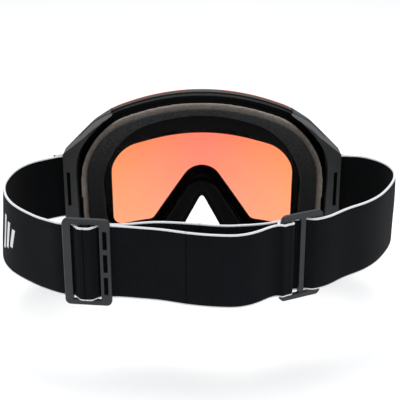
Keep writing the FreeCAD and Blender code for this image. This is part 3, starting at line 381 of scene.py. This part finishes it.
rim_plastic = plastic("rim_plastic", grey(0.006), grey(0.02), (0.38, 0.52), specular=0.4)
soft_frame = plastic("soft_frame", grey(0.0012), grey(0.004), (0.6, 0.75), 0.5, 0.03, 0.12)
outrigger_plastic = plastic(
    "outrigger_plastic", grey(0.006), grey(0.022), (0.42, 0.56), specular=0.4
)
slider_plastic = plastic(
    "slider_plastic", grey(0.0095, 1.35), grey(0.023, 1.35), (0.4, 0.52), specular=0.4
)
carrier_plastic = plastic("carrier_plastic", grey(0.002), grey(0.007), (0.5, 0.7), specular=0.2)
spacer = foam("lens_spacer", [(0.2, grey(0.001)), (0.9, grey(0.005))], 0.3, 0.05, 0.1)
# the near-black first stop also takes the painted shade of the middle foam round the nose and on its
# inner walls
BROWNS = [
    (0.1, (0.002, 0.002, 0.002)),
    (0.3, (0.13, 0.108, 0.09)),
    (0.6, (0.225, 0.192, 0.168)),
    (0.9, (0.33, 0.29, 0.26)),
]
brown_foam = foam("middle_foam", BROWNS, 0.75, 0.25, with_painted_shade=True)
black_foam = foam("base_foam", [(0.25, grey(0.0004)), (0.9, grey(0.002))], 0.6, 0.25, 0.02)
fleece_cloth = fleece()
elastic_cloth = elastic()
edge_yarn = piping()
magnet_steel = steel("magnet_steel")
pin_steel = steel("pin_steel")
mark_ink = Look("strap_mark_ink", Specular_IOR_Level=0.3, Roughness=0.6)
mark_ink.colour(mark_ink.noise(0.6, 3.0), [(0.2, (0.72, 0.73, 0.74)), (0.8, (0.88, 0.89, 0.9))])

NODE_LOOKS = {
    "frame_chassis": soft_frame,
    "front_rim": rim_plastic,
    "frame_magnets": magnet_steel,
    "lens_magnets": magnet_steel,
    "left_outrigger": outrigger_plastic,
    "right_outrigger": outrigger_plastic,
    "left_grip_pad": grip_rubber(),
    "left_strap_pin": pin_steel,
    "right_strap_pin": pin_steel,
    "lens_carrier": carrier_plastic,
    "outer_lens": tinted_lens(),
    "lens_gasket": spacer,
    "inner_lens": clear_lens(),
    "left_slider": slider_plastic,
    "right_slider": slider_plastic,
}
NODE_LOOKS["right_grip_pad"] = NODE_LOOKS["left_grip_pad"]
for node, look in NODE_LOOKS.items():
    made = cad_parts[node]
    if made.material_slots:
        for place in made.material_slots:
            place.material = look
    else:
        made.data.materials.append(look)

# ---- floor ---------------------------------------------------------------------------------------

floor_mesh = bpy.data.meshes.new("floor")
floor_mesh.from_pydata([(-8, -8, 0), (8, -8, 0), (8, 8, 0), (-8, 8, 0)], [], [(0, 1, 2, 3)])
floor = bpy.data.objects.new("floor", floor_mesh)
floor.location.z = cad_box[0].z - 0.0002
scene.collection.objects.link(floor)
floor_look = Look("floor", Roughness=0.9, Specular_IOR_Level=0.1)
floor_look.colour(floor_look.noise(400.0), [(0.0, (0.93, 0.93, 0.93)), (1.0, (0.96, 0.96, 0.96))])
floor_mesh.materials.append(floor_look.material)

# ---- soft foam -----------------------------------------------------------------------------------


def evaluated_copy(name, source):
    """A new object holding a source's mesh with its modifiers applied."""
    graph = bpy.context.evaluated_depsgraph_get()
    mesh = bpy.data.meshes.new_from_object(source.evaluated_get(graph))
    made = bpy.data.objects.new(name, mesh)
    scene.collection.objects.link(made)
    return made


def points_of(mesh):
    found = np.empty(len(mesh.vertices) * 3)
    mesh.vertices.foreach_get("co", found)
    return found.reshape(-1, 3)


def set_points(mesh, points):
    mesh.vertices.foreach_set("co", np.asarray(points, float).ravel())
    mesh.update()


SWELL_FRAMES = 14


def foam_piece(name, node, look, voxel, cap, shrink, swell=True):
    """A foam layer remade as a soft form that swells between its edges."""
    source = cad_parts[node]
    work = bpy.data.objects.new(name + "_work", source.data.copy())
    scene.collection.objects.link(work)
    remesh = work.modifiers.new("remesh", "REMESH")
    remesh.mode = "VOXEL"
    remesh.voxel_size = voxel
    smooth = work.modifiers.new("smooth", "SMOOTH")
    smooth.factor = 0.5
    smooth.iterations = 6
    made = evaluated_copy(name, work)
    bpy.data.objects.remove(work)
    start = points_of(made.data)
    if swell:
        normals = np.empty(len(start) * 3)
        made.data.vertices.foreach_get("normal", normals)
        inner = start - normals.reshape(-1, 3) * shrink
        set_points(made.data, inner)
        cloth = made.modifiers.new("cloth", "CLOTH")
        cloth.settings.quality = 4
        cloth.settings.use_pressure = True
        cloth.settings.uniform_pressure_force = 4
        cloth.settings.mass = 0.15
        cloth.settings.tension_stiffness = 12
        cloth.settings.compression_stiffness = 12
        cloth.settings.bending_stiffness = 0.4
        cloth.settings.effector_weights.gravity = 0
        cloth.point_cache.frame_start = 1
        cloth.point_cache.frame_end = SWELL_FRAMES
        for number in range(1, SWELL_FRAMES + 1):
            scene.frame_set(number)
        graph = bpy.context.evaluated_depsgraph_get()
        swollen = made.evaluated_get(graph).to_mesh()
        moved = points_of(swollen)
        made.evaluated_get(graph).to_mesh_clear()
        made.modifiers.clear()
        scene.frame_set(1)
        step = moved - inner
        length = np.linalg.norm(step, axis=1, keepdims=True)
        step *= np.minimum(1, cap / np.maximum(length, 1e-9))
        set_points(made.data, inner + step)
    made.data.materials.clear()
    made.data.materials.append(look)
    for face in made.data.polygons:
        face.use_smooth = True
    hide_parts(node)
    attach(made, "frame")
    return made


# each layer's mesh size, how far it may swell, and how full it is
FOAM_SHRINK = 0.3 * MM
LAYERS = [
    ("face_fleece", "foam_face_fleece", fleece_cloth, 0.9 * MM, 0.9 * MM, 0.8),
    ("middle_foam", "foam_middle_layer", brown_foam, 1.1 * MM, 0.5 * MM, 0.9),
    ("base_foam", "foam_base_layer", black_foam, 1.3 * MM, 0.4 * MM, 0.9),
]
for name, node, look, voxel, cap, fill in LAYERS:
    foam_piece(name, node, look, voxel, cap, FOAM_SHRINK)
grille = vent_foam()
for node in ("top_vent_foam", "left_bottom_vent_foam", "right_bottom_vent_foam"):
    foam_piece(node + "_soft", node, grille, 0.6 * MM, 0, 0, swell=False)

# ---- elastic -------------------------------------------------------------------------------------

# the plan routes that the elastic's middle follows, in millimetres
LEFT_ROUTE = [
    (101.94, -28.54), (112.89, -15.43), (117.15, 1.17), (117.08, 18.38), (113.34, 35.17),
    (106.38, 50.92), (95.82, 64.44), (83.73, 76.66), (73.93, 83.73), (70.16, 84.2),
    (68.79, 84.57), (67.56, 86.83), (66.28, 88.75), (65.55, 90.14), (63.92, 90.81),
    (60.94, 91.17), (59.19, 90.92), (58.14, 89.75), (56.44, 88.2), (54.7, 86.3),
    (53.28, 86.27), (49.51, 86.73), (28.02, 87.76), (8.16, 93.92), (-12.02, 97.22),
    (-31.19, 92.3), (-42.9, 86.65),
]
RIGHT_ROUTE = [
    (60.27, 85.71), (56.85, 84.93), (53.78, 84.6), (48.2, 85.08), (35.36, 84.4),
    (18.14, 84.9), (1.15, 87.81), (-14.45, 89.76), (-40.0, 80.95), (-45.08, 78.58),
    (-48.07, 77.84), (-51.56, 77.42), (-52.94, 76.82), (-54.23, 76.05), (-55.95, 76.35),
    (-58.15, 76.82), (-61.08, 77.16), (-62.42, 76.71), (-65.8, 74.98), (-76.61, 66.07),
    (-89.75, 56.18), (-100.77, 44.0), (-108.81, 29.65), (-115.05, 14.43), (-117.45, -1.77),
    (-112.87, -17.4), (-101.29, -28.95),
]
PIN = (86.5, -35.98)
SLIDERS = {
    "left": (np.array([62.0, 87.52]), np.array([-0.99255, 0.12187])),
    "right": (np.array([-53.8, 78.52]), np.array([-0.89101, -0.45399])),
}
STRAP_MIDDLE_Z = 58.0


def by_slider(side, along_by, out):
    middle, along = SLIDERS[side]
    return tuple(middle + along * along_by + np.array([along[1], -along[0]]) * out)


def pin_wrap(side):
    """From the sewn tail round the strap pin to the running elastic."""
    sign = 1 if side == "left" else -1
    centre = np.array([PIN[0] * sign, PIN[1]])
    on = np.array([15.44 * sign, 7.44])
    on /= np.linalg.norm(on)
    out = np.array([on[1], -on[0]]) * sign
    plan = [(9.5, 1.75), (6.0, 1.8), (3.0, 2.05), (0, 2.1), (-1.5, 1.5), (-2.1, 0)]
    plan += [(-1.5, -1.5), (0, -2.1), (3.0, -1.6), (7.0, -0.35), (10.5, 0.0)]
    return [tuple(centre + on * a + out * b) for a, b in plan]


def curve_through(points, step=0.7):
    """A natural cubic through the points, at even steps in millimetres."""
    points = np.asarray(points, float)
    at = np.concatenate([[0], np.cumsum(np.linalg.norm(np.diff(points, axis=0), axis=1))])
    h = np.diff(at)
    n = len(points)
    system = np.eye(n)
    right = np.zeros((n, 2))
    for i in range(1, n - 1):
        system[i, i - 1 : i + 2] = h[i - 1], 2 * (h[i - 1] + h[i]), h[i]
        right[i] = 6 * (
            (points[i + 1] - points[i]) / h[i] - (points[i] - points[i - 1]) / h[i - 1]
        )
    bend = np.linalg.solve(system, right)
    dense = []
    for i in range(n - 1):
        for t in np.linspace(0, h[i], max(3, int(h[i] / 0.15)), endpoint=i == n - 2):
            a, b = (h[i] - t) / h[i], t / h[i]
            dense.append(
                a * points[i]
                + b * points[i + 1]
                + ((a**3 - a) * bend[i] + (b**3 - b) * bend[i + 1]) * h[i] ** 2 / 6
            )
    dense = np.array(dense)
    run = np.concatenate([[0], np.cumsum(np.linalg.norm(np.diff(dense, axis=0), axis=1))])
    count = int(run[-1] / step) + 1
    even = np.linspace(0, run[-1], count)
    return np.stack([np.interp(even, run, dense[:, k]) for k in (0, 1)], axis=1), even


# half of the elastic's section: across the band and out from its middle, in millimetres
EDGE = [(21.2, 0.0), (21.13, 0.34), (20.9, 0.58), (20.55, 0.7), (20.25, 0.62), (20.12, 0.5)]
FACE = [(19.95, 0.62), (19.6, 0.7), (15.0, 0.7), (10.0, 0.7), (5.0, 0.7), (0.0, 0.7)]
UPPER = EDGE + FACE
OUTER = UPPER + [(-w, t) for w, t in reversed(UPPER[:-1])]
SECTION = OUTER + [(w, -t) for w, t in reversed(OUTER[1:-1])]
PIPED = 20.2
HALF_STRAP = 21.2


def wander(s, w):
    """Slow unevenness of a stretched band, out of its plane, in millimetres."""
    return 0.25 * (w / HALF_STRAP) ** 2 * math.sin(s / 23.0 + 1.3) + 0.12 * math.sin(s / 9.0 + w / 6)


class Band:
    """A length of elastic along its line, and how far it strays from it.

    free tells where it may wander, lift how far it then rides up, in millimetres,
    and flare how far it stands out at a place along it and across it."""

    def __init__(self, points, lift, flare):
        self.line, self.along = curve_through(points)
        tangents = np.gradient(self.line, axis=0)
        self.tangents = tangents / np.linalg.norm(tangents, axis=1, keepdims=True)
        self.lift, self.flare = lift, flare
        self.end = self.along[-1]
        self.free = None

    def nearest(self, point):
        away = np.linalg.norm(self.line - np.array(point), axis=1)
        return self.along[int(np.argmin(away))]

    def point(self, s, w, t):
        x, y = (np.interp(s, self.along, self.line[:, k]) for k in (0, 1))
        ahead = [np.interp(s, self.along, self.tangents[:, k]) for k in (0, 1)]
        free = self.free(s)
        push = t + free * wander(s, w) + self.flare(s, w)
        z = STRAP_MIDDLE_Z + w + free * self.lift
        return ((x + ahead[1] * push) * MM, (y - ahead[0] * push) * MM, z * MM)


def elastic_piece(name, band, first, last, plain):
    """The elastic between two places along its band; plain ends a stretch without pale edges."""
    along = band.along
    keep = [i for i in range(len(along)) if first - 1e-6 <= along[i] <= last + 1e-6]
    if keep[0] > 0:
        keep.insert(0, keep[0] - 1)
    vertices = [band.point(along[i], w, t) for i in keep for w, t in SECTION]
    count = len(SECTION)
    faces = []
    for row in range(len(keep) - 1):
        for k in range(count):
            a, b = row * count + k, row * count + (k + 1) % count
            faces.append((a, b, b + count, a + count))
    faces.append(tuple(range(count)))
    faces.append(tuple(range((len(keep) - 1) * count, len(keep) * count))[::-1])
    mesh = bpy.data.meshes.new(name)
    mesh.from_pydata(vertices, [], faces)
    mesh.materials.append(elastic_cloth)
    mesh.materials.append(edge_yarn)
    uv = mesh.uv_layers.new(name="UVMap")
    for face in mesh.polygons:
        row, k = divmod(face.index, count)
        if face.index >= count * (len(keep) - 1):
            continue
        w0, w1 = SECTION[k][0], SECTION[(k + 1) % count][0]
        pale = abs(w0 + w1) / 2 > PIPED and along[keep[row]] > plain
        face.material_index = 1 if pale else 0
        face.use_smooth = True
        corners = ((row, k), (row, k + 1), (row + 1, k + 1), (row + 1, k))
        for loop, (r, c) in zip(face.loop_indices, corners):
            uv.data[loop].uv = (along[keep[r]], SECTION[c % count][0])
    made = bpy.data.objects.new(name, mesh)
    scene.collection.objects.link(made)
    bm = bmesh.new()
    bm.from_mesh(mesh)
    bmesh.ops.recalc_face_normals(bm, faces=bm.faces)
    for face in bm.faces:
        if len(face.verts) > 4:
            for edge in face.edges:
                edge.smooth = False
    bm.to_mesh(mesh)
    bm.free()
    length = (along[keep[-1]] - along[keep[0]]) * MM
    return made, length


# how far along the elastic a pin or slider keeps it from straying, in millimetres
HELD = 16


def easing(places, reach):
    """1 away from the given places along the line, easing to 0 at them."""

    def loose(s):
        near = min(abs(s - p) for p in places)
        t = min(1, max(0, (near - HELD) / reach))
        return t * t * (3 - 2 * t)

    return loose


# the left band ends in an eye round the right slider's inner bar
inner_eye = [
    (-13.4, 2.3), (-10.6, 2.3), (-7.8, 2.3), (-7.0, 1.95), (-6.8, 1.3), (-6.8, 0), (-6.8, -1.3),
    (-7.0, -1.95), (-7.8, -2.3), (-10.6, -2.3), (-13.4, -2.3), (-14.2, -1.95), (-14.4, -1.3),
    (-14.4, 0.3),
]

# the right band starts in an eye round the left slider's middle bar
middle_eye = [
    (2.5, -0.4), (2.5, 0.9), (2.2, 1.6), (1.5, 1.9), (0, 1.9), (-1.5, 1.9), (-2.2, 1.6),
    (-2.5, 0.9), (-2.5, 0), (-2.5, -0.9), (-2.2, -1.6), (-1.5, -1.9), (0, -1.9),
]


# how the left side bows out between the wing and the slider, in millimetres
BOW, LOWER_BOW, BOW_REACH = 2.2, 1.6, 38.0
BOW_START, BOW_EASE = 26, 20
# how far the two bands stray up or down at the back, where one lies behind the other
OUTER_LIFT, INNER_LIFT = -1.2, 1.1


def left_flare(s, w):
    """How far the left side stands out, most at its lower edge."""
    bell = math.exp(-(((s - left_bend) / BOW_REACH) ** 2))
    start = min(1, max(0, (s - BOW_START) / BOW_EASE))
    return bell * (BOW - LOWER_BOW * w / HALF_STRAP) * start


left = Band(
    pin_wrap("left") + LEFT_ROUTE + [by_slider("right", *p) for p in inner_eye],
    OUTER_LIFT,
    left_flare,
)
left_bend = left.nearest((114.5, 30.0))
left_crest = left.nearest(by_slider("left", 0, 3.6))
left_middle = left.nearest((8.16, 93.92))
left.free = easing([0, left_crest, left.end - 14], 22)
right = Band(
    [by_slider("left", *p) for p in middle_eye] + RIGHT_ROUTE + pin_wrap("right")[::-1],
    INNER_LIFT,
    lambda s, w: 0.0,
)
right_eye = right.nearest((53.78, 84.6))
right_middle = right.nearest((1.15, 87.81))
right_pass = right.nearest(by_slider("right", 0, -1.95))
right.free = easing([14, right_pass, right.end], 22)

BANDS = [
    ("left_strap_side", left, 0, left_crest,
     "frame", "left_strap_slider", (113.34, 35.17), (73.93, 83.73)),
    ("left_strap_back", left, left_crest, left_middle,
     "left_strap_slider", "frame", (49.5, 86.7), (10.0, 93.5)),
    ("left_strap_end", left, left_middle, left.end,
     "frame", "right_strap_slider", (5.0, 94.0), (-38.0, 84.0)),
    ("right_strap_end", right, 0, right_middle,
     "left_strap_slider", "frame", (46.0, 85.0), (4.0, 87.0)),
    ("right_strap_back", right, right_middle, right_pass,
     "frame", "right_strap_slider", (-1.0, 88.0), (-38.0, 81.5)),
    ("right_strap_side", right, right_pass, right.end,
     "right_strap_slider", "frame", (-67.0, 74.0), (-108.8, 29.65)),
]
for name, band, first, last, before, after, start, end in BANDS:
    made, length = elastic_piece(name, band, first, last, right_eye if band is right else 0)
    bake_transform(made)
    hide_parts(name.split("_")[0] + "_strap_band")


# the mark's ink lies just outside the elastic's face, in millimetres
MARK_OUT = 0.75
MARK_PITCH, MARK_WIDTH, MARK_LEAN = 6.4, 3.6, 4.0


def mark_bar(name, start, width, low, high, lean):
    """A slanted bar of pale ink printed on the left side of the strap."""
    rows = 14
    vertices, faces = [], []
    for k in range(rows + 1):
        w = low + (high - low) * k / rows
        for j in range(4):
            s = start + lean * k / rows + width * j / 3
            vertices.append(left.point(s, w, MARK_OUT))
    for k in range(rows):
        for j in range(3):
            a = k * 4 + j
            faces.append((a, a + 1, a + 5, a + 4))
    mesh = bpy.data.meshes.new(name)
    mesh.from_pydata(vertices, [], faces)
    mesh.materials.append(mark_ink.material)
    made = bpy.data.objects.new(name, mesh)
    scene.collection.objects.link(made)
    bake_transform(made)


mark_start = left.nearest((113.0, 36.0))
for number, height in enumerate((22.0, 17.0, 12.0)):
    start = mark_start + MARK_PITCH * number
    mark_bar(
        f"strap_mark_{number + 1}", start, MARK_WIDTH, -height / 2, height / 2, MARK_LEAN
    )
